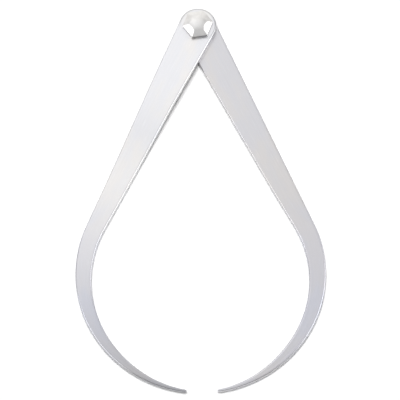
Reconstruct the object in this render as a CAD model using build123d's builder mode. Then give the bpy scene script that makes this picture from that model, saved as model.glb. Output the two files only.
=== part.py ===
from build123d import *
from math import cos, radians, sin, sqrt
import os

# Firm joint outside caliper, nominal size 8 inches, lying on its back with the nut up.
# The joint's axis is Z, the resting plane is Z = 0 and the legs run towards -Y.
# All lengths are in millimetres and all angles in degrees.

# Outline of a leg, which is the same for both
tip_reach = 203.2  # pivot to measuring tip, the caliper's nominal size
joint_end_radius = 10.0  # round end at the joint, which both straight edges leave on tangents
inner_edge_slope = 26.5  # straight inner edge, from the line between pivot and tip
outer_edge_slope = 21.4  # straight outer edge, from the same line
inner_straight = 123.2  # pivot to where the inner edge starts to bow
outer_bow_lag = 3.8  # how much further out along the leg its outer edge starts to bow
tip_width = 1.2
tip_round = 0.45  # corners of the tip's end
leg_thickness = 3.2
edge_break = 0.4  # small flat ground along all the long edges

# How far the caliper stands open, and how the front leg is set down to the rear leg's level
half_opening = 2.22  # line between pivot and tip, from the middle of the caliper
set_start = 27.0  # pivot to the first bend, beyond where the legs can cover each other
set_length = 80.0  # both bends together

# Joint stack, from the back to the crown
stud_head_diameter = 13.0
stud_head_height = 1.2
stud_neck_width = 8.0  # square neck that keys the stud into the rear leg
stud_journal_diameter = 8.0  # round bearing that the front leg turns on
stud_thread_diameter = 6.35
stud_key_width = 5.2  # across the two flats that keep the thrust washer from turning
friction_washer_margin = 0.5  # from the legs' round ends in to the washer's rim
friction_washer_thickness = 0.4
thrust_washer_diameter = 13.6
thrust_washer_thickness = 0.5

# Nut, a hexagon that tapers to a turned crown
nut_across_flats = 14.3
nut_turn = 8.0  # how far the hexagon stands turned on the stud
nut_side_height = 1.5
nut_taper_height = 2.1
nut_crown_diameter = 8.0  # where the middle of each tapered face meets the dome
nut_dome_radius = 16.0
nut_roof = 1.2  # metal left over the blind thread

# Clearances
running_clearance = 0.05  # radial, around the journal
seat_clearance = 0.1  # radial, around the stud's head and over its ends
key_clearance = 0.04  # each side, on the square neck and on the flats

# Sizes that follow from the ones above
outer_straight = inner_straight + outer_bow_lag
friction_washer_diameter = 2 * (joint_end_radius - friction_washer_margin)

# Levels, which follow from the stack
rear_top = leg_thickness
front_bottom = rear_top + friction_washer_thickness
front_top = front_bottom + leg_thickness
nut_seat = front_top + thrust_washer_thickness

# Nut's crown: the tapered faces run on to half the crown's radius before the dome cuts them
crown_radius = nut_crown_diameter / 2
crown_rise = nut_dome_radius - sqrt(nut_dome_radius**2 - crown_radius**2)
nut_top = nut_seat + nut_side_height + nut_taper_height + crown_rise
nut_bore_depth = nut_top - nut_seat - nut_roof
uncut_top_radius = crown_radius / 2
taper_run = nut_across_flats / 2 - crown_radius
uncut_taper_height = nut_taper_height * (taper_run + crown_radius - uncut_top_radius) / taper_run

PIVOT = Vector(0, 0)


def along(slope, distance):
    """Point that far from the pivot, on a line leaning outwards from the line to the tip."""
    return PIVOT + Vector(-sin(radians(slope)), -cos(radians(slope))) * distance


def towards_tip_side(slope, distance):
    """Step square to a line of that slope, towards the caliper's inside."""
    return Vector(cos(radians(slope)), -sin(radians(slope))) * distance


def leg_outline():
    """Face of the left leg with its tip on the Y axis, as it lies when the caliper is closed."""
    inner_foot = towards_tip_side(inner_edge_slope, joint_end_radius)
    outer_foot = towards_tip_side(outer_edge_slope, -joint_end_radius)
    tip_inner = PIVOT + Vector(0, -tip_reach + tip_width / 2)
    tip_outer = PIVOT + Vector(0, -tip_reach - tip_width / 2)
    with BuildSketch() as outline:
        with BuildLine():
            inner_edge = Line(inner_foot, inner_foot + along(inner_edge_slope, inner_straight))
            TangentArc(inner_edge @ 1, tip_inner, tangent=inner_edge % 1)
            Line(tip_inner, tip_outer)
            outer_edge = Line(outer_foot, outer_foot + along(outer_edge_slope, outer_straight))
            TangentArc(outer_edge @ 1, tip_outer, tangent=outer_edge % 1)
            ThreePointArc(inner_foot, PIVOT + Vector(0, joint_end_radius), outer_foot)
        make_face()
        fillet(outline.vertices().sort_by_distance(tip_inner)[:2], tip_round)
    return outline.sketch


def break_long_edges(leg):
    """Chamfer every edge where a face of the leg meets its outer wall."""
    walls = leg.faces().filter_by(lambda face: abs(face.normal_at().Z) < 0.01)
    rims = walls.edges() - walls.edges().filter_by(Axis.Z)
    chamfer(rims, edge_break)


# Rear leg: flat, with a sunk seat and a square hole for the stud
rear_outline = mirror(leg_outline(), about=Plane.YZ)
with BuildPart() as rear_leg:
    with BuildSketch(Plane.XY.rotated((0, 0, half_opening))):
        add(rear_outline)
    extrude(amount=leg_thickness)
    break_long_edges(rear_leg)
    with BuildSketch():
        Circle(stud_head_diameter / 2 + seat_clearance)
    extrude(amount=stud_head_height, mode=Mode.SUBTRACT)
    with BuildSketch(Plane.XY.offset(stud_head_height)):
        Rectangle(stud_neck_width + 2 * key_clearance, stud_neck_width + 2 * key_clearance)
    extrude(amount=leg_thickness - stud_head_height, mode=Mode.SUBTRACT)

# Front leg: the same outline, lying on the rear leg at the joint and set down beyond it
leg_lean = (inner_edge_slope + outer_edge_slope) / 2
side_overrun = 2 * joint_end_radius  # the side form runs past both ends of the leg
leg_side_plane = Plane(
    origin=(0, 0, 0),
    x_dir=along(leg_lean + half_opening, 1),
    z_dir=towards_tip_side(leg_lean + half_opening, -1),
)
with BuildPart() as front_leg:
    with BuildSketch(Plane.XY.rotated((0, 0, -half_opening))):
        add(leg_outline())
    extrude(amount=front_top)
    with BuildSketch(leg_side_plane):
        with BuildLine():
            level = Line((-side_overrun, front_bottom), (set_start, front_bottom))
            middle = (set_start + set_length / 2, front_bottom / 2)
            upper_bend = TangentArc(level @ 1, middle, tangent=level % 1)
            lower_bend = TangentArc(middle, (set_start + set_length, 0), tangent=upper_bend % 1)
            Line(lower_bend @ 1, (tip_reach + side_overrun, 0))
            offset(amount=leg_thickness, side=Side.LEFT)
        make_face()
    extrude(amount=tip_reach, both=True, mode=Mode.INTERSECT)
    break_long_edges(front_leg)
    with BuildSketch():
        Circle(stud_journal_diameter / 2 + running_clearance)
    extrude(amount=front_top, mode=Mode.SUBTRACT)

# Stud: sunk head, square neck, journal and a threaded end with two flats
with BuildPart() as joint_stud:
    with BuildSketch():
        Circle(stud_head_diameter / 2)
    extrude(amount=stud_head_height)
    with BuildSketch(Plane.XY.offset(stud_head_height)):
        Rectangle(stud_neck_width, stud_neck_width)
    extrude(amount=rear_top - stud_head_height)
    with BuildSketch(Plane.XY.offset(rear_top)):
        Circle(stud_journal_diameter / 2)
    extrude(amount=front_top - seat_clearance - rear_top)
    with BuildSketch(Plane.XY.offset(front_top - seat_clearance)):
        Circle(stud_thread_diameter / 2)
        Rectangle(stud_thread_diameter, stud_key_width, mode=Mode.INTERSECT)
    extrude(amount=thrust_washer_thickness + nut_bore_depth)

# Friction washer between the two legs
with BuildPart() as friction_washer:
    with BuildSketch(Plane.XY.offset(rear_top)):
        Circle(friction_washer_diameter / 2)
        Circle(stud_journal_diameter / 2 + running_clearance, mode=Mode.SUBTRACT)
    extrude(amount=friction_washer_thickness)

# Thrust washer under the nut, keyed to the stud so that the turning leg can't turn the nut
with BuildPart() as thrust_washer:
    with BuildSketch(Plane.XY.offset(front_top)):
        Circle(thrust_washer_diameter / 2)
    extrude(amount=thrust_washer_thickness)
    with BuildSketch(Plane.XY.offset(front_top)):
        Circle(stud_thread_diameter / 2 + running_clearance)
        Rectangle(thrust_washer_diameter, stud_key_width + 2 * key_clearance, mode=Mode.INTERSECT)
    extrude(amount=thrust_washer_thickness, mode=Mode.SUBTRACT)

# Nut: six upright faces, six tapered faces and a turned dome over a blind thread
nut_plane = Plane.XY.offset(nut_seat).rotated((0, 0, nut_turn))
with BuildPart() as joint_nut:
    with BuildSketch(nut_plane):
        RegularPolygon(nut_across_flats / 2, 6, major_radius=False)
    extrude(amount=nut_side_height)
    with BuildSketch(nut_plane.offset(nut_side_height)):
        RegularPolygon(nut_across_flats / 2, 6, major_radius=False)
    with BuildSketch(nut_plane.offset(nut_side_height + uncut_taper_height)):
        RegularPolygon(uncut_top_radius, 6, major_radius=False)
    loft()
    with Locations((0, 0, nut_top - nut_dome_radius)):
        Sphere(nut_dome_radius, mode=Mode.INTERSECT)
    with BuildSketch(Plane.XY.offset(nut_seat)):
        Circle(stud_thread_diameter / 2 + running_clearance)
    extrude(amount=nut_bore_depth, mode=Mode.SUBTRACT)

# Named pieces, one STEP file each
pieces = {
    "rear_leg": rear_leg,
    "front_leg": front_leg,
    "joint_stud": joint_stud,
    "friction_washer": friction_washer,
    "thrust_washer": thrust_washer,
    "joint_nut": joint_nut,
}
os.makedirs("parts", exist_ok=True)
for name, piece in pieces.items():
    piece.part.label = name
    export_step(piece.part, f"parts/{name}.step")
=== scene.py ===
"""Firm joint outside caliper, nominal size 8 inches: its looks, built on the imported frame.

The caliper lies on its back with the nut up. Lengths are metres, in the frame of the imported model.
"""

import logging
from dataclasses import dataclass, field
from enum import Enum
from math import asin, atan2, cos, degrees, pi, radians, sin, sqrt, tan
from typing import Any, Callable

import bmesh
import bpy
from mathutils import Matrix, Vector


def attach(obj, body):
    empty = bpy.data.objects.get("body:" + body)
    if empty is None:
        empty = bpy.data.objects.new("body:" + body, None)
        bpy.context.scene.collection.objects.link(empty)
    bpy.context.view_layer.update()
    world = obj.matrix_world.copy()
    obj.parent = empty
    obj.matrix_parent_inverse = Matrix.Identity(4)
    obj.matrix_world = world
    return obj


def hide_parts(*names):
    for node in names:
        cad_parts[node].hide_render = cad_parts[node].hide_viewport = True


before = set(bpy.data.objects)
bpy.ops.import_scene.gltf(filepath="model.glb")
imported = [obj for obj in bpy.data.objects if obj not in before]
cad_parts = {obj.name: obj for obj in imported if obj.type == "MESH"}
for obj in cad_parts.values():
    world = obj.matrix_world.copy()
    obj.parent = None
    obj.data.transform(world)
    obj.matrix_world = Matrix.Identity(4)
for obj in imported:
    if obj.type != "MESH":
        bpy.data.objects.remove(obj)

MM = 0.001
PHOTO_SIDE = 400  # the picture is square, and this is its side in pixels
log = logging.getLogger("caliper")


# ---------------------------------------------------------------- shader bench


class Wire:
    """One output of a node, or a plain number, that Python's operators can work on."""

    def __init__(self, bench: "Bench", socket: Any) -> None:
        """Keep the bench that makes the maths nodes, and the socket or number.

        Args:
            bench: The bench of the material that the socket belongs to.
            socket: The output socket.
        """
        self.bench = bench
        self.socket = socket

    def _maths(self, operation: str, *values: Any) -> "Wire":
        """Add one Math node.

        Args:
            operation: The node's operation.
            values: Its inputs, wires or numbers.

        Returns:
            The node's output.
        """
        return self.bench.add("ShaderNodeMath", {"operation": operation}, dict(enumerate(values)))

    def __add__(self, other: Any) -> "Wire":
        """Sum of the two."""
        return self._maths("ADD", self, other)

    __radd__ = __add__

    def __sub__(self, other: Any) -> "Wire":
        """This less the other."""
        return self._maths("SUBTRACT", self, other)

    def __rsub__(self, other: Any) -> "Wire":
        """The other less this."""
        return self._maths("SUBTRACT", other, self)

    def __mul__(self, other: Any) -> "Wire":
        """Product of the two."""
        return self._maths("MULTIPLY", self, other)

    __rmul__ = __mul__

    def __truediv__(self, other: Any) -> "Wire":
        """This divided by the other."""
        return self._maths("DIVIDE", self, other)

    def __neg__(self) -> "Wire":
        """This with its sign turned."""
        return self._maths("MULTIPLY", self, -1.0)

    def __pow__(self, power: float) -> "Wire":
        """This to a power."""
        return self._maths("POWER", self, power)

    def over(self, edge: float) -> "Wire":
        """One where this is more than the edge, else nought."""
        return self._maths("GREATER_THAN", self, edge)

    def root(self) -> "Wire":
        """Square root."""
        return self._maths("SQRT", self)

    def size(self) -> "Wire":
        """Value without its sign."""
        return self._maths("ABSOLUTE", self)

    def angle_from(self, run: "Wire") -> "Wire":
        """Angle of the slope that rises this much over that run, in radians."""
        return self._maths("ARCTAN2", self, run)

    def lesser(self, other: Any) -> "Wire":
        """The lower of the two."""
        return self._maths("MINIMUM", self, other)

    def mixed(self, other: Any, share: "Wire") -> "Wire":
        """This where the share is nought, and the other where it is one."""
        return self + share * (other - self)

    def ramp(self, low: float, high: float, to_low: float = 0.0, to_high: float = 1.0,
             kind: str = "SMOOTHSTEP") -> "Wire":
        """Step from one level to another.

        Args:
            low: Where the step starts.
            high: Where it ends.
            to_low: The level below it.
            to_high: The level above it.
            kind: Smooth by default, or "LINEAR".

        Returns:
            The stepped value.
        """
        return self.bench.add(
            "ShaderNodeMapRange",
            {"interpolation_type": kind},
            {"Value": self, "From Min": low, "From Max": high, "To Min": to_low, "To Max": to_high},
        )


class Bench:
    """Makes the nodes of one material or world."""

    def __init__(self, owner: bpy.types.ID) -> None:
        """Clear the owner's nodes.

        Args:
            owner: The material or world.
        """
        owner.use_nodes = True
        self.tree = owner.node_tree
        self.tree.nodes.clear()

    def add(self, kind: str, settings: dict[str, Any] | None = None, inputs: dict[Any, Any] | None = None,
            output: int | str = 0) -> Wire:
        """Add any node.

        Args:
            kind: The node's type.
            settings: Its properties, set before its sockets. A ramp's stops go under "stops".
            inputs: Values or wires by the socket's name or number.
            output: The output that is wanted.

        Returns:
            That output.
        """
        node = self.tree.nodes.new(kind)
        for name, value in (settings or {}).items():
            if name == "stops":
                elements = node.color_ramp.elements
                while len(elements) < len(value):
                    elements.new(1.0)
                for element, (place, colour) in zip(elements, value):
                    element.position, element.color = place, (*colour, 1.0)
            else:
                setattr(node, name, value)
        for name, value in (inputs or {}).items():
            socket = node.inputs[name]
            if isinstance(value, Wire):
                self.tree.links.new(value.socket, socket)
            else:
                socket.default_value = value
        return Wire(self, node.outputs[output] if node.outputs else None)

    def join(self, x: Any, y: Any, z: Any) -> Wire:
        """Vector of three values."""
        return self.add("ShaderNodeCombineXYZ", None, {"X": x, "Y": y, "Z": z})

    def noise(self, place: Wire, scale: float, detail: float = 2.0, roughness: float = 0.5) -> Wire:
        """Smooth noise between about nought and one.

        Args:
            place: Where to read it.
            scale: Waves to a unit of length.
            detail: Octaves.
            roughness: How strong each finer octave is.

        Returns:
            The noise.
        """
        return self.add(
            "ShaderNodeTexNoise", {"noise_dimensions": "3D"},
            {"Vector": place, "Scale": scale, "Detail": detail, "Roughness": roughness},
        )

    def tint(self, first: Any, second: Any, share: Wire, blend: str = "MIX") -> Wire:
        """Mix of two colours.

        Args:
            first: Colour where the share is nought.
            second: Colour where it is one.
            share: The factor.
            blend: How they mix.

        Returns:
            The mixed colour.
        """
        settings = {"data_type": "RGBA", "blend_type": blend}
        first, second = (c if isinstance(c, Wire) else (*c, 1.0) for c in (first, second))
        return self.add("ShaderNodeMix", settings, {0: share, 6: first, 7: second}, output=2)

    def shine(self, colour: Wire, factor: Wire) -> Wire:
        """Colour made lighter or darker by a factor."""
        grey = self.join(factor, factor, factor)
        return self.add("ShaderNodeVectorMath", {"operation": "MULTIPLY"}, {0: colour, 1: grey})

    def object_place(self) -> tuple[Wire, Wire, Wire]:
        """Object coordinates in millimetres, one wire for each axis."""
        coordinates = self.add("ShaderNodeTexCoord", output="Object")
        scaled = self.add("ShaderNodeVectorMath", {"operation": "SCALE"}, {0: coordinates, "Scale": 1 / MM})
        return self.split(scaled)

    def split(self, vector: Wire) -> tuple[Wire, Wire, Wire]:
        """The three parts of a vector."""
        node = self.tree.nodes.new("ShaderNodeSeparateXYZ")
        self.tree.links.new(vector.socket, node.inputs[0])
        return tuple(Wire(self, output) for output in node.outputs)

    def metal(self, colour: Wire, roughness: Wire, height: Wire, depth: float, settings: dict[str, float]) -> None:
        """Finish the material with a metal surface.

        Args:
            colour: Base colour.
            roughness: Roughness.
            height: Height of the fine relief, in millimetres.
            depth: Share of that relief that shows.
            settings: Values of the shader's own sockets that are the same all over.
        """
        bump = self.add("ShaderNodeBump", None, {"Strength": depth, "Distance": MM, "Height": height})
        inputs = {"Base Color": colour, "Roughness": roughness, "Normal": bump, "Metallic": 1.0, **settings}
        surface = self.add("ShaderNodeBsdfPrincipled", None, inputs)
        self.add("ShaderNodeOutputMaterial", None, {"Surface": surface})


def new_material(name: str) -> tuple[bpy.types.Material, Bench]:
    """Make an empty material and the bench for its nodes."""
    material = bpy.data.materials.new(name)
    return material, Bench(material)


# ---------------------------------------------------------------- the leg's form, for its grain


@dataclass(frozen=True)
class LegLine:
    """Middle line of the left leg at rest: a straight arm that runs on in a bow to the tip, in millimetres."""

    tip_reach: float = 203.2
    joint_end_radius: float = 10.0
    inner_edge_slope: float = 26.5
    outer_edge_slope: float = 21.4
    inner_straight: float = 123.2
    outer_straight: float = 127.0
    tip_width: float = 1.2
    half_opening: float = 2.22

    def out_along(self, slope: float) -> Vector:
        """Direction from the pivot at that slope outwards from the line to the tip."""
        angle = radians(slope + self.half_opening)
        return Vector((-sin(angle), -cos(angle)))

    def inwards(self, slope: float) -> Vector:
        """Direction square to that, towards the caliper's inside."""
        angle = radians(slope + self.half_opening)
        return Vector((cos(angle), -sin(angle)))

    @property
    def slope(self) -> float:
        """Slope of the middle of the straight arm."""
        return (self.inner_edge_slope + self.outer_edge_slope) / 2

    @property
    def inner_bow_start(self) -> Vector:
        """Where the inner edge starts to bow."""
        along = self.out_along(self.inner_edge_slope) * self.inner_straight
        return along + self.inwards(self.inner_edge_slope) * self.joint_end_radius

    @property
    def outer_bow_start(self) -> Vector:
        """Where the outer edge starts to bow."""
        along = self.out_along(self.outer_edge_slope) * self.outer_straight
        return along - self.inwards(self.outer_edge_slope) * self.joint_end_radius

    @property
    def tip(self) -> Vector:
        """Measuring tip."""
        return self.out_along(0.0) * self.tip_reach

    @property
    def bow_start(self) -> Vector:
        """Middle of the leg where its bow starts."""
        return (self.inner_bow_start + self.outer_bow_start) / 2

    def bow(self, start: Vector, slope: float, tip_offset: float) -> tuple[Vector, float]:
        """Arc that leaves a straight edge on a tangent and ends at the tip.

        Args:
            start: Where the straight edge ends.
            slope: That edge's slope.
            tip_offset: How far short of the tip's middle the arc ends.

        Returns:
            The arc's centre and radius.
        """
        run = self.out_along(0.0) * (self.tip_reach - tip_offset) - start
        radius = run.length_squared / (2 * run.dot(self.inwards(slope)))
        return start + self.inwards(slope) * radius, radius

    @property
    def bow_radius(self) -> float:
        """Radius of the bow's middle line."""
        return self.bow(self.bow_start, self.slope, 0.0)[1]

    @property
    def bow_centre(self) -> Vector:
        """Centre of the bow's middle line."""
        return self.bow(self.bow_start, self.slope, 0.0)[0]

    def edge_point(self, inner: bool, share: float) -> tuple[Vector, Vector]:
        """Point of one edge of the leg.

        Args:
            inner: Whether it is the edge on the caliper's inside.
            share: How far along the edge, from nought at the round end to one at the tip.

        Returns:
            The point, and the direction square to the edge and out of the leg.
        """
        sign = 1.0 if inner else -1.0
        slope = self.inner_edge_slope if inner else self.outer_edge_slope
        straight = self.inner_straight if inner else self.outer_straight
        start = self.inner_bow_start if inner else self.outer_bow_start
        way, side = self.out_along(slope), self.inwards(slope)
        _, radius = self.bow(start, slope, sign * self.tip_width / 2)
        run = self.out_along(0.0) * (self.tip_reach - sign * self.tip_width / 2) - start
        gone = share * (straight + radius * 2 * asin(run.length / (2 * radius)))
        if gone <= straight:
            return way * gone + side * sign * self.joint_end_radius, side * sign
        turn = (gone - straight) / radius
        point = start + way * radius * sin(turn) + side * radius * (1 - cos(turn))
        return point, (side * cos(turn) - way * sin(turn)) * sign

    def lay_grain(self, x: Wire, y: Wire) -> tuple[Wire, Wire]:
        """Places measured along and across the leg, so that grain follows the bow.

        Args:
            x: Place across the caliper.
            y: Place along it.

        Returns:
            Distance along the leg and distance across it, in millimetres.
        """
        way, side = self.out_along(self.slope), self.inwards(self.slope)
        start = self.bow_start.dot(way)
        along = x * way.x + y * way.y
        across = x * side.x + y * side.y
        centre = self.bow_centre
        dx, dy = x - centre.x, y - centre.y
        forward, outward = dx * way.x + dy * way.y, -(dx * side.x + dy * side.y)
        bow_across = self.bow_radius - (dx * dx + dy * dy).root() + self.bow_start.dot(side)
        bow_along = forward.angle_from(outward) * self.bow_radius + start
        in_bow = along.over(start)
        return along.mixed(bow_along, in_bow), across.mixed(bow_across, in_bow)


# ---------------------------------------------------------------- finishes


@dataclass(frozen=True)
class GroundSteel:
    """Satin steel, ground lengthwise, for a leg."""

    name: str
    mirrored: bool
    # The two tones paint light and shade: the face runs from the first, near the joint, to the second at the tip.
    tone: tuple[float, float, float]
    tip_shade_tone: tuple[float, float, float]
    # Painted shade: the first of these darkens the rounded edges, and the second brings the upright walls back up.
    edge_shade_tone: float = 0.85
    wall_tone: float = 1.0
    rim_tone: float = 0.72  # painted shade on the round end's edge
    roughness: float = 0.34
    grain_depth: float = 0.35
    line: LegLine = field(default_factory=LegLine)

    def make(self) -> bpy.types.Material:
        """Build the material.

        Returns:
            The material.
        """
        material, bench = new_material(self.name)
        x, y, z = bench.object_place()
        if self.mirrored:
            x = -x
        along, across = self.line.lay_grain(x, y)
        if not self.mirrored:
            z = z - along.ramp(27.0, 107.0, 3.6, 0.0)
        fine = bench.noise(bench.join(along * 0.045, across * 7.0, z * 7.0), 1.0, detail=2.0)
        streak = bench.noise(bench.join(along * 0.02, across * 1.3, z * 1.3), 1.0, detail=3.0)
        cloud = bench.noise(bench.join(along * 0.05, across * 0.12, z * 0.12), 1.0, detail=2.0)
        scratch = bench.noise(bench.join(along * 0.12, across * 3.1, z * 3.1), 1.0, detail=0.0)
        scuff = scratch.ramp(0.70, 0.78)
        upright = bench.add("ShaderNodeTexCoord", output="Normal")
        _, _, facing = bench.split(upright)
        level = facing.size()
        edge = level.ramp(0.80, 0.985, 1.0, 0.0)
        wall = level.ramp(0.1, 0.6, 1.0, 0.0)
        # Painted light and shade: the colour runs from the joint's tone to the tip's tone down the leg.
        down_leg = along.ramp(95.0, 240.0, kind="LINEAR")
        colour = bench.tint(self.tone, self.tip_shade_tone, down_leg)
        cool = along.ramp(100.0, 150.0) * along.ramp(190.0, 240.0, 1.0, 0.0)
        # Painted shade on the edge of the round end at the joint.
        rim_shade = (x * x + y * y).root().ramp(8.7, 9.3) * along.ramp(-1.0, 6.0, 1.0, 0.0)
        colour = bench.tint(colour, (0.985, 0.995, 1.045), cool, "MULTIPLY")
        wave = 0.93 + 0.08 * fine + 0.06 * streak
        colour = bench.shine(colour, wave)
        warm = bench.tint((1.012, 1.0, 0.985), (0.985, 0.993, 1.02), cloud.ramp(0.35, 0.65))
        colour = bench.tint(colour, warm, 1.0, "MULTIPLY")
        # Painted shade on the rounded edges, less on the walls, with lighter scuffs; then the painted shade on the
        # round end's edge.
        edge_shade_and_scuff = 1.0 - edge * (1 - self.edge_shade_tone) - wall * (self.edge_shade_tone - self.wall_tone) + scuff * 0.05
        edge_shade_and_scuff = edge_shade_and_scuff * (1.0 - rim_shade * (1 - self.rim_tone))
        colour = bench.shine(colour, edge_shade_and_scuff)
        rough = self.roughness + (fine - 0.5) * 0.12 + (streak - 0.5) * 0.1 + (cloud - 0.5) * 0.06 - edge * 0.12
        height = fine * 0.010 + streak * 0.012 - scuff * 0.004
        bench.metal(colour, rough, height, self.grain_depth, {})
        return material


@dataclass(frozen=True)
class TurnedSteel:
    """Bright steel, turned about the joint's axis, for the nut, the stud and the washer under the nut."""

    name: str
    tone: tuple[float, float, float]
    warm_reflection_tint: tuple[float, float, float] = (1.0, 1.0, 1.0)  # painted warm reflection tint of the side towards +Y
    shade_spot_tone: float = 1.0  # of a painted shade spot beside the crown
    foot_shade_tone: float = 1.0  # of painted shade on the upright face towards the camera
    foot_height: float = 0.0
    roughness: float = 0.3
    ring_depth: float = 0.25

    def make(self) -> bpy.types.Material:
        """Build the material.

        Returns:
            The material.
        """
        material, bench = new_material(self.name)
        x, y, z = bench.object_place()
        radius = (x * x + y * y).root()
        rings = bench.noise(bench.join(radius * 6.0, z * 6.0, 0.0), 1.0, detail=2.0)
        cloud = bench.noise(bench.join(x, y, z), 0.35, detail=3.0)
        _, facing_back, _ = bench.split(bench.add("ShaderNodeTexCoord", output="Normal"))
        # Painted shade: the upright faces towards the camera are darker below the foot height.
        low = z.ramp(self.foot_height - 0.4, self.foot_height + 0.3, 1.0, 0.0) * (-facing_back).ramp(0.7, 0.9)
        foot = 1.0 - low * (1 - self.foot_shade_tone)
        # Painted shade: a darker spot beside the crown, towards +X.
        off_x, off_y = x - 6.0, y - 2.2
        shade_spot = (off_x * off_x + off_y * off_y).root().ramp(2.0, 4.0, self.shade_spot_tone, 1.0)
        colour = bench.tint(self.tone, tuple(c * 0.93 for c in self.tone), cloud.ramp(0.3, 0.7))
        # Painted reflection tint: the side towards +Y is warmer.
        colour = bench.tint(colour, self.warm_reflection_tint, y.ramp(-2.0, 4.0), "MULTIPLY")
        colour = bench.shine(colour, (0.93 + 0.12 * rings) * foot * shade_spot)
        rough = self.roughness + (rings - 0.5) * 0.12 + (cloud - 0.5) * 0.15
        bench.metal(colour, rough, rings * 0.008, self.ring_depth, {})
        return material


@dataclass(frozen=True)
class BronzeSheet:
    """Plain bronze sheet, for the washer between the legs."""

    name: str = "bronze_sheet"
    tone: tuple[float, float, float] = (0.62, 0.45, 0.25)

    def make(self) -> bpy.types.Material:
        """Build the material.

        Returns:
            The material.
        """
        material, bench = new_material(self.name)
        x, y, z = bench.object_place()
        radius = (x * x + y * y).root()
        rings = bench.noise(bench.join(radius * 3.0, z * 3.0, 0.0), 1.0, detail=2.0)
        cloud = bench.noise(bench.join(x, y, z), 0.5, detail=3.0)
        colour = bench.tint(self.tone, (0.42, 0.30, 0.17), cloud.ramp(0.4, 0.75))
        bench.metal(colour, 0.35 + (rings - 0.5) * 0.2, rings * 0.01, 0.3, {})
        return material


# ---------------------------------------------------------------- pieces


class Body(Enum):
    """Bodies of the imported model."""

    REAR = "rear"
    FRONT = "front"


def dress(node: str, material: bpy.types.Material) -> None:
    """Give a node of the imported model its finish.

    Args:
        node: The node's name.
        material: The finish.
    """
    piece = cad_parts[node]
    if not piece.material_slots:
        piece.data.materials.append(material)
    for place in piece.material_slots:
        place.material = material
    log.info("dressed %s with %s", node, material.name)


@dataclass(frozen=True)
class Bore:
    """One length of the hole at the joint, in millimetres."""

    radius: float  # to its corners
    sides: int
    low: float
    high: float


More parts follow.
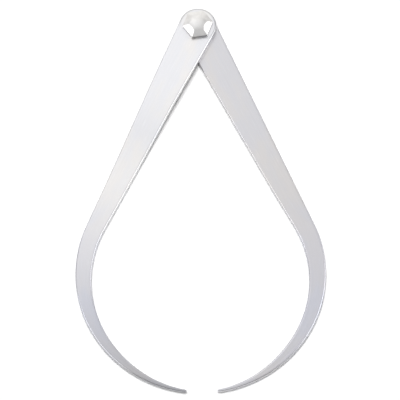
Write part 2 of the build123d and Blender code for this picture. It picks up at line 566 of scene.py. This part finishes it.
@dataclass(frozen=True)
class Leg:
    """A leg with well rounded edges, set down from the joint to the bench. Sizes are millimetres."""

    name: str
    node: str
    body: Body
    mirrored: bool
    drop: float  # how far it is set down beyond the joint
    bores: tuple[Bore, ...]
    thickness: float = 3.2
    drop_start: float = 27.0
    drop_length: float = 80.0
    edge_round: float = 1.0
    fullness: float = 0.9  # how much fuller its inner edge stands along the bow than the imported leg's
    swell_start: float = 0.2  # share of the inner edge where that begins
    side_steps: int = 130
    end_steps: int = 48
    round_steps: int = 5
    line: LegLine = field(default_factory=LegLine)

    def swell(self, share: float) -> float:
        """How much fuller the inner edge is at that share of its length."""
        rise = min(1.0, max(0.0, (share - self.swell_start) / 0.3))
        fall = min(1.0, max(0.0, (1.0 - share) / 0.2))
        return self.fullness * rise * fall * fall * (3 - 2 * fall)

    def outline(self) -> list[tuple[Vector, Vector, float]]:
        """Outline from the joint down the inner edge, round the tip, up the outer edge and round the joint.

        Returns:
            Points, directions out of the leg, and how much of the leg's edge is rounded there.
        """
        inner, outer = [], []
        for step in range(self.side_steps):
            share = step / self.side_steps
            place, out = self.line.edge_point(True, share)
            inner.append((place + out * self.swell(share), out))
            outer.append(self.line.edge_point(False, share))
        spans = [(a[0] - b[0]).length for a, b in zip(inner, outer)]
        rounds = [min(self.edge_round, span / 3) for span in spans]
        points = [(*pair, r) for pair, r in zip(inner, rounds)]
        middle = (inner[-1][0] + outer[-1][0]) / 2
        across = inner[-1][0] - middle
        onward = Vector((across.y, -across.x)).normalized()
        if onward.dot(self.line.tip - middle) < 0:
            onward = -onward
        reach = onward.dot(self.line.tip - middle) - 0.1
        for step in range(1, 8):
            angle = pi * step / 8
            out = (across.normalized() * cos(angle) * reach + onward * sin(angle) * across.length).normalized()
            points.append((middle + across * cos(angle) + onward * sin(angle) * reach, out, rounds[-1]))
        points += [(*pair, r) for pair, r in zip(reversed(outer), reversed(rounds))]
        first, last = outer[0][0], inner[0][0]
        from_angle, to_angle = atan2(first.y, first.x), atan2(last.y, last.x)
        for step in range(1, self.end_steps):
            angle = from_angle + (to_angle - from_angle) * step / self.end_steps
            out = Vector((cos(angle), sin(angle)))
            points.append((out * self.line.joint_end_radius, out, rounds[0]))
        return points

    def lift(self, place: Vector) -> tuple[float, float]:
        """Height of the leg's underside at a place, and how steeply it falls along the leg."""
        along = place.dot(self.line.out_along(self.line.slope)) - self.drop_start
        half = self.drop_length / 2
        if not self.drop or along >= self.drop_length:
            return 0.0, 0.0
        if along <= 0.0:
            return self.drop, 0.0
        bend = (half**2 + (self.drop / 2) ** 2) / self.drop
        gone = along if along < half else self.drop_length - along
        sink = bend - sqrt(bend**2 - gone**2)
        return (self.drop - sink if along < half else sink), gone / sqrt(bend**2 - gone**2)

    def ring(self, mesh: bmesh.types.BMesh, normals: list[Vector], places: list[tuple[Vector, float, Vector]]) -> list:
        """Add one closed ring of edges, lifted to the leg's level.

        Args:
            mesh: The mesh to add to.
            normals: The normals of the mesh's vertices so far, to which the ring's are added.
            places: Point, height above the leg's underside, and normal, for each vertex.

        Returns:
            The ring's edges.
        """
        way = self.line.out_along(self.line.slope)
        turn = -1.0 if self.mirrored else 1.0
        made = bmesh.ops.create_circle(mesh, segments=len(places), radius=1.0)
        for vertex, (place, height, normal) in zip(made["verts"], places):
            level, fall = self.lift(place)
            vertex.co = Vector((place.x * turn, place.y, height + level)) * MM
            lean = normal + Vector((way.x, way.y, 0.0)) * fall * normal.z
            normals.append(Vector((lean.x * turn, lean.y, lean.z)).normalized())
        return list({edge for vertex in made["verts"] for edge in vertex.link_edges})

    def bore_ring(self, mesh: bmesh.types.BMesh, normals: list[Vector], bore: Bore, height: float) -> list:
        """Add one ring of the hole at the joint."""
        places = []
        for step in range(bore.sides):
            angle = 2 * pi * (step + 0.5) / bore.sides
            out = Vector((cos(angle), sin(angle)))
            places.append((out * bore.radius, height, Vector((-out.x, -out.y, 0.0))))
        return self.ring(mesh, normals, places)

    def build(self) -> bpy.types.Object:
        """Build the leg: rings up its rounded edge, the hole at the joint, and its two faces.

        Returns:
            The leg.
        """
        mesh = bmesh.new()
        normals: list[Vector] = []
        outline = self.outline()
        turns = [step / self.round_steps * pi / 2 for step in range(self.round_steps + 1)]
        rings = []
        for turn, up in [(turn, -1.0) for turn in reversed(turns)] + [(turn, 1.0) for turn in turns]:
            places = []
            for place, out, rounding in outline:
                middle = self.thickness / 2 + up * (self.thickness / 2 - rounding + rounding * sin(turn))
                normal = Vector((out.x * cos(turn), out.y * cos(turn), up * sin(turn)))
                places.append((place - out * rounding * (1 - cos(turn)), middle, normal))
            rings.append(self.ring(mesh, normals, places))
        for first, second in zip(rings, rings[1:]):
            bmesh.ops.bridge_loops(mesh, edges=first + second)
        walls = [[self.bore_ring(mesh, normals, bore, h) for h in (bore.low, bore.high)] for bore in self.bores]
        for low, high in walls:
            bmesh.ops.bridge_loops(mesh, edges=low + high)
        for (_, high), (low, _) in zip(walls, walls[1:]):
            bmesh.ops.triangle_fill(mesh, edges=high + low, use_beauty=True)
        for ring, bore in ((rings[0], walls[0][0]), (rings[-1], walls[-1][1])):
            bmesh.ops.triangle_fill(mesh, edges=ring + bore, use_beauty=True)
        bmesh.ops.recalc_face_normals(mesh, faces=mesh.faces)
        data = bpy.data.meshes.new(self.name)
        mesh.to_mesh(data)
        mesh.free()
        data.polygons.foreach_set("use_smooth", [True] * len(data.polygons))
        corners = []
        for face in data.polygons:
            corners += [normals[i] if normals[i].dot(face.normal) > 0.8 else face.normal.copy() for i in face.vertices]
        data.normals_split_custom_set(corners)
        piece = bpy.data.objects.new(self.name, data)
        bpy.context.scene.collection.objects.link(piece)
        return piece

    def dress(self, piece: bpy.types.Object, material: bpy.types.Material) -> None:
        """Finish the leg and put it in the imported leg's place."""
        piece.data.materials.append(material)
        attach(piece, self.body.value)
        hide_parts(self.node)
        log.info("built %s, %d faces", piece.name, len(piece.data.polygons))


@dataclass
class Nut:
    """Hexagon nut with tapered faces and a turned crown, over a blind bore. Sizes are millimetres."""

    across_flats: float = 14.3
    turn: float = 38.0  # from +X to the middle of a flat, in degrees
    seat: float = 7.3
    side_height: float = 1.5
    taper_height: float = 2.1
    crown_diameter: float = 8.0
    dome_radius: float = 16.0
    roof: float = 1.2
    bore_radius: float = 3.225
    corner_round: float = 0.35
    edge_soften: float = 0.10
    foot_chamfer: float = 0.12
    sector_steps: int = 16

    @property
    def apothem(self) -> float:
        """Middle of the nut to a flat."""
        return self.across_flats / 2

    @property
    def slope(self) -> float:
        """Fall of the tapered faces over their run."""
        return self.taper_height / (self.apothem - self.crown_diameter / 2)

    @property
    def top(self) -> float:
        """Height of the crown's middle."""
        crown = self.crown_diameter / 2
        return self.seat + self.side_height + self.taper_height + self.dome_radius - sqrt(self.dome_radius**2 - crown**2)

    def reach(self, angle: float, apothem: float) -> float:
        """Distance to a hexagon with rounded corners.

        Args:
            angle: Angle from the middle of a flat, in radians, up to a twelfth of a turn either way.
            apothem: The hexagon's half width across flats.

        Returns:
            Distance from the middle.
        """
        corner = pi / 6
        rounding = min(self.corner_round, apothem * 0.3)
        inner = apothem - rounding
        if abs(tan(angle)) * apothem <= inner * tan(corner):
            return apothem / cos(angle)
        middle, off = inner / cos(corner), corner - abs(angle)
        return middle * cos(off) + sqrt(rounding**2 - (middle * sin(off)) ** 2)

    def angles(self) -> list[float]:
        """Angles of one sector's points, closest together at the corners."""
        steps = self.sector_steps
        return [pi / 6 * sin(pi * (i / steps - 0.5)) for i in range(steps)]

    def height(self, across: float, radius: float) -> float:
        """Height of the nut's upper surface.

        Args:
            across: The rounded hexagon's half width that passes through the point.
            radius: The point's distance from the axis.

        Returns:
            Height, in millimetres, with the edge between taper and dome softened.
        """
        taper = self.seat + self.side_height + (self.apothem - across) * self.slope
        dome = self.top - self.dome_radius + sqrt(self.dome_radius**2 - radius**2)
        soft = self.edge_soften
        share = max(0.0, min(1.0, 0.5 + (dome - taper) / (2 * soft)))
        return dome + (taper - dome) * share - soft * share * (1 - share)

    def ring(self, mesh: bmesh.types.BMesh, place: Callable[[float, float], tuple[float, float]]) -> list:
        """Add one closed ring of edges.

        Args:
            mesh: The mesh to add to.
            place: Gives radius and height for an angle within its sector.

        Returns:
            The ring's edges.
        """
        angles = self.angles()
        made = bmesh.ops.create_circle(mesh, segments=6 * len(angles), radius=1.0)
        for index, vertex in enumerate(made["verts"]):
            sector, step = divmod(index, len(angles))
            radius, height = place(angles[step], 0.0)
            turned = radians(self.turn) + sector * pi / 3 + angles[step]
            vertex.co = Vector((radius * cos(turned), radius * sin(turned), height)) * MM
        return list({edge for vertex in made["verts"] for edge in vertex.link_edges})

    def build(self) -> bpy.types.Object:
        """Build the nut ring by ring, from the bore over the foot and the flats to the crown.

        Returns:
            The nut.
        """
        mesh = bmesh.new()
        foot, side_top = self.seat, self.seat + self.side_height
        bore_top = self.top - self.roof
        cut = self.foot_chamfer
        rings = [
            self.ring(mesh, lambda a, _: (self.bore_radius, bore_top)),
            self.ring(mesh, lambda a, _: (self.bore_radius, foot + cut)),
            self.ring(mesh, lambda a, _: (self.bore_radius + cut, foot)),
            self.ring(mesh, lambda a, _: (self.reach(a, self.apothem) - cut, foot)),
            self.ring(mesh, lambda a, _: (self.reach(a, self.apothem), foot + cut)),
        ]
        for drop, inset in ((0.12, 0.0), (0.04, 0.02), (-0.03, 0.08)):
            rings.append(self.ring(mesh, lambda a, _, d=drop, i=inset: (self.reach(a, self.apothem - i), side_top - d)))
        steps = 40
        for step in range(1, steps):
            half = (self.apothem - 0.15) * (1 - step / steps)
            rings.append(self.ring(mesh, lambda a, _, h=half: self.upper_point(a, h)))
        for first, second in zip(rings, rings[1:]):
            bmesh.ops.bridge_loops(mesh, edges=first + second)
        bmesh.ops.holes_fill(mesh, edges=rings[0] + rings[-1])
        bmesh.ops.recalc_face_normals(mesh, faces=mesh.faces)
        data = bpy.data.meshes.new("crowned_nut")
        mesh.to_mesh(data)
        mesh.free()
        data.polygons.foreach_set("use_smooth", [True] * len(data.polygons))
        piece = bpy.data.objects.new("crowned_nut", data)
        bpy.context.scene.collection.objects.link(piece)
        return piece

    def upper_point(self, angle: float, half: float) -> tuple[float, float]:
        """Radius and height of a point of the upper surface on the hexagon of that half width."""
        radius = self.reach(angle, half)
        return radius, self.height(half, radius)

    def dress(self, piece: bpy.types.Object, material: bpy.types.Material) -> None:
        """Finish the nut and put it in the nut's place on the rear leg's body."""
        piece.data.materials.append(material)
        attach(piece, Body.REAR.value)
        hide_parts("joint_nut")
        log.info("built %s, %d faces", piece.name, len(piece.data.polygons))


# ---------------------------------------------------------------- studio


@dataclass
class Viewpoint:
    """Where the photograph was taken from: a long lens, tilted from the vertical towards the tips. Millimetres."""

    tilt: float = 20.0
    distance: float = 1600.0
    scale: float = 0.528  # millimetres to a pixel at the picture's middle
    roll: float = 0.684
    pivot_pixel: tuple[float, float] = (197.815, 30.245)
    sensor: float = 36.0

    def place(self) -> bpy.types.Object:
        """Make the camera and hand it to the scene.

        Returns:
            The camera.
        """
        tilt, roll = radians(self.tilt), radians(self.roll)
        forward = Vector((0, sin(tilt), -cos(tilt)))
        level_up, level_right = Vector((0, cos(tilt), sin(tilt))), Vector((1, 0, 0))
        right = cos(roll) * level_right - sin(roll) * level_up
        up = sin(roll) * level_right + cos(roll) * level_up
        focal = self.distance / self.scale
        middle = PHOTO_SIDE / 2
        ray = forward + right * (self.pivot_pixel[0] - middle) / focal - up * (self.pivot_pixel[1] - middle) / focal
        location = ray * (self.distance * forward.z / -ray.z)
        data = bpy.data.cameras.new("long_lens")
        data.lens = self.sensor * focal / PHOTO_SIDE
        data.sensor_width = self.sensor
        data.clip_start, data.clip_end = 0.05, 20.0
        camera = bpy.data.objects.new("long_lens", data)
        camera.matrix_world = Matrix.Translation(location * MM) @ Matrix((right, up, -forward)).transposed().to_4x4()
        bpy.context.scene.collection.objects.link(camera)
        bpy.context.scene.camera = camera
        return camera


@dataclass(frozen=True)
class Softbox:
    """One soft lamp, a lit rectangle that faces a point of the bench, in metres."""

    name: str
    azimuth: float  # degrees from +X towards +Y
    elevation: float
    distance: float
    width: float
    depth: float
    level: float  # how bright its face is, where one is white
    on_bench: bool = True  # whether it lights the bench top
    on_steel: bool = True  # whether it shows in the steel

    def light(self, target: Vector) -> None:
        """Make the lamp.

        Args:
            target: The point that it faces.
        """
        data = bpy.data.lights.new(self.name, "AREA")
        data.shape, data.size, data.size_y = "RECTANGLE", self.width, self.depth
        data.energy = self.level * pi * self.width * self.depth
        azimuth, elevation = radians(self.azimuth), radians(self.elevation)
        away = Vector((cos(azimuth) * cos(elevation), sin(azimuth) * cos(elevation), sin(elevation)))
        lamp = bpy.data.objects.new(self.name, data)
        lamp.location = target + away * self.distance
        lamp.rotation_euler = away.to_track_quat("Z", "Y").to_euler()
        lamp.visible_diffuse, lamp.visible_glossy = self.on_bench, self.on_steel
        bpy.context.scene.collection.objects.link(lamp)


@dataclass
class Studio:
    """White bench top, a pale tent that is darker on the camera's side, and soft lamps."""

    floor_reach: float = 3.0
    floor_tone: float = 0.9
    backdrop_lift: float = 0.15
    overhead: float = 0.6  # light on the bench top from straight above
    front: float = 0.8  # levels of the tent's walls, where one is white
    top: float = 0.78
    left: float = 1.0
    right: float = 1.0
    back: float = 1.35
    target: tuple[float, float, float] = (0.0, -0.1, 0.0)
    lamps: tuple[Softbox, ...] = (
        Softbox("key_upper_left", 112.0, 60.0, 0.8, 0.55, 0.55, 0.5, on_bench=False),
        Softbox("side_left", 200.0, 33.0, 1.2, 0.9, 0.5, 1.8, on_bench=False),
        Softbox("side_right", 0.0, 28.0, 1.2, 0.9, 0.5, 1.8, on_bench=False),
        Softbox("bench_key", 135.0, 83.0, 2.5, 0.9, 0.9, 19.0, on_steel=False),
    )

    def lay_floor(self) -> None:
        """Lay the white bench top under the caliper."""
        mesh = bmesh.new()
        bmesh.ops.create_grid(mesh, x_segments=2, y_segments=2, size=self.floor_reach)
        bmesh.ops.translate(mesh, verts=mesh.verts, vec=(0, 0, -0.00002))
        data = bpy.data.meshes.new("bench_top")
        mesh.to_mesh(data)
        mesh.free()
        material, bench = new_material("white_bench")
        tone = (self.floor_tone,) * 3 + (1.0,)
        matt = bench.add("ShaderNodeBsdfDiffuse", None, {"Color": tone})
        seen = bench.add("ShaderNodeLightPath", output="Is Camera Ray")
        lift = bench.add("ShaderNodeEmission", None, {"Strength": seen * self.backdrop_lift})
        both = bench.add("ShaderNodeAddShader", None, {0: matt, 1: lift})
        bench.add("ShaderNodeOutputMaterial", None, {"Surface": both})
        data.materials.append(material)
        floor = bpy.data.objects.new("bench_top", data)
        bpy.context.scene.collection.objects.link(floor)

    def raise_tent(self) -> None:
        """Make the world: even and pale, darker towards the camera's side."""
        world = bpy.data.worlds.new("tent")
        bpy.context.scene.world = world
        bench = Bench(world)
        direction = bench.add("ShaderNodeTexCoord", output="Generated")
        x, y, z = bench.split(direction)
        wall = x.ramp(-0.4, 0.4, self.left, self.right).mixed(self.back, y.ramp(0.5, 0.9))
        above = wall.mixed(self.top, z.ramp(0.6, 0.95))
        front = z.ramp(0.35, 0.65, self.front * 0.5, self.front)
        level = above.mixed(front, y.ramp(-0.75, -0.35, 1.0, 0.0))
        matt = bench.add("ShaderNodeLightPath", output="Is Diffuse Ray")
        level = level.mixed(z.ramp(0.6, 0.85) * self.overhead, matt)
        tent = bench.add("ShaderNodeBackground", None, {"Strength": level})
        bench.add("ShaderNodeOutputWorld", None, {"Surface": tent})

    def set_up(self) -> None:
        """Lay the floor, raise the tent and light the lamps."""
        self.lay_floor()
        self.raise_tent()
        for lamp in self.lamps:
            lamp.light(Vector(self.target))
        bpy.context.scene.view_settings.view_transform = "Standard"


def main() -> None:
    """Build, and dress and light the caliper."""
    logging.basicConfig(level=logging.INFO, format="%(name)s: %(message)s")
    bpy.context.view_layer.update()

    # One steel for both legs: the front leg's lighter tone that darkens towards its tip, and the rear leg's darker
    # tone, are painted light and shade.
    left_steel = GroundSteel("ground_steel_front", False, (0.86, 0.855, 0.86), (0.47, 0.468, 0.483))
    right_steel = GroundSteel("ground_steel_rear", True, (0.70, 0.69, 0.70), (0.71, 0.706, 0.72))
    stud_steel = TurnedSteel("turned_stud_steel", (0.60, 0.60, 0.61))
    # The nut's warm side is a painted reflection tint; the darker spot beside the crown (0.82) and the darker foot
    # (0.35) are painted shade.
    nut_steel = TurnedSteel("bright_nut_steel", (0.88, 0.872, 0.866), (1.0, 0.985, 0.965), 0.82, 0.35, 8.4, 0.36)
    front = Leg("rounded_front_leg", "front_leg", Body.FRONT, False, 3.6, (Bore(4.05, 48, 0.0, 3.2),))
    front.dress(front.build(), left_steel.make())
    seat, neck = Bore(6.6, 48, 0.0, 1.2), Bore(8.08 / sqrt(2), 4, 1.2, 3.2)
    rear = Leg("rounded_rear_leg", "rear_leg", Body.REAR, True, 0.0, (seat, neck), fullness=1.4, swell_start=0.12)
    rear.dress(rear.build(), right_steel.make())
    turned = stud_steel.make()
    dress("joint_stud", turned)
    dress("thrust_washer", turned)
    dress("friction_washer", BronzeSheet().make())

    nut = Nut()
    nut.dress(nut.build(), nut_steel.make())

    Viewpoint().place()
    Studio().set_up()


if __name__ == "__main__":
    main()
